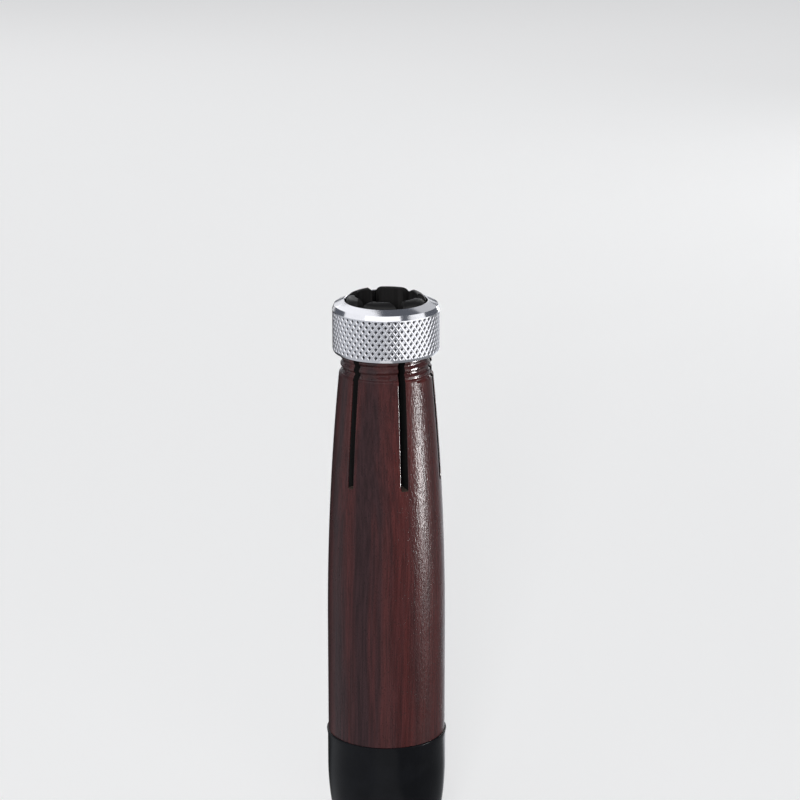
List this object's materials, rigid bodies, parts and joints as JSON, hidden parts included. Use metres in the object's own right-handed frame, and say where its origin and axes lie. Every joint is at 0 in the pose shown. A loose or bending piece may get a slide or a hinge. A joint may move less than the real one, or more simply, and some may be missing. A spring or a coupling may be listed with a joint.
{
  "type": "crayon holder",
  "caption": "Turned wooden crayon holder: a slotted collet neck closed by a knurled screw collar, a crayon bore, and a rounded black cap on the butt.",
  "frame": {"origin": "centre of the flat foot under the end cap, on the holder's axis", "axes": "+Z along the axis from the cap to the mouth; -Y faces the viewer of the picture, +X to the right"},
  "size_m": [0.026, 0.026, 0.127],
  "materials": {
    "stained_wood": "dark red-brown stain under satin lacquer",
    "machined_aluminium": "bright turned metal with a diamond knurl",
    "black_plastic": "satin black moulded plastic"
  },
  "bodies": {
    "barrel": {"barrel": "stained_wood", "end_cap": "black_plastic"},
    "collar": {"collar": "machined_aluminium"}
  },
  "joints": [
    {"name": "collar_turn", "type": "hinge", "parent": "barrel", "child": "collar", "pos_m": [0, 0, 0.1205], "axis": [0, 0, 1], "range_deg": [-90, 1200]}
  ]
}
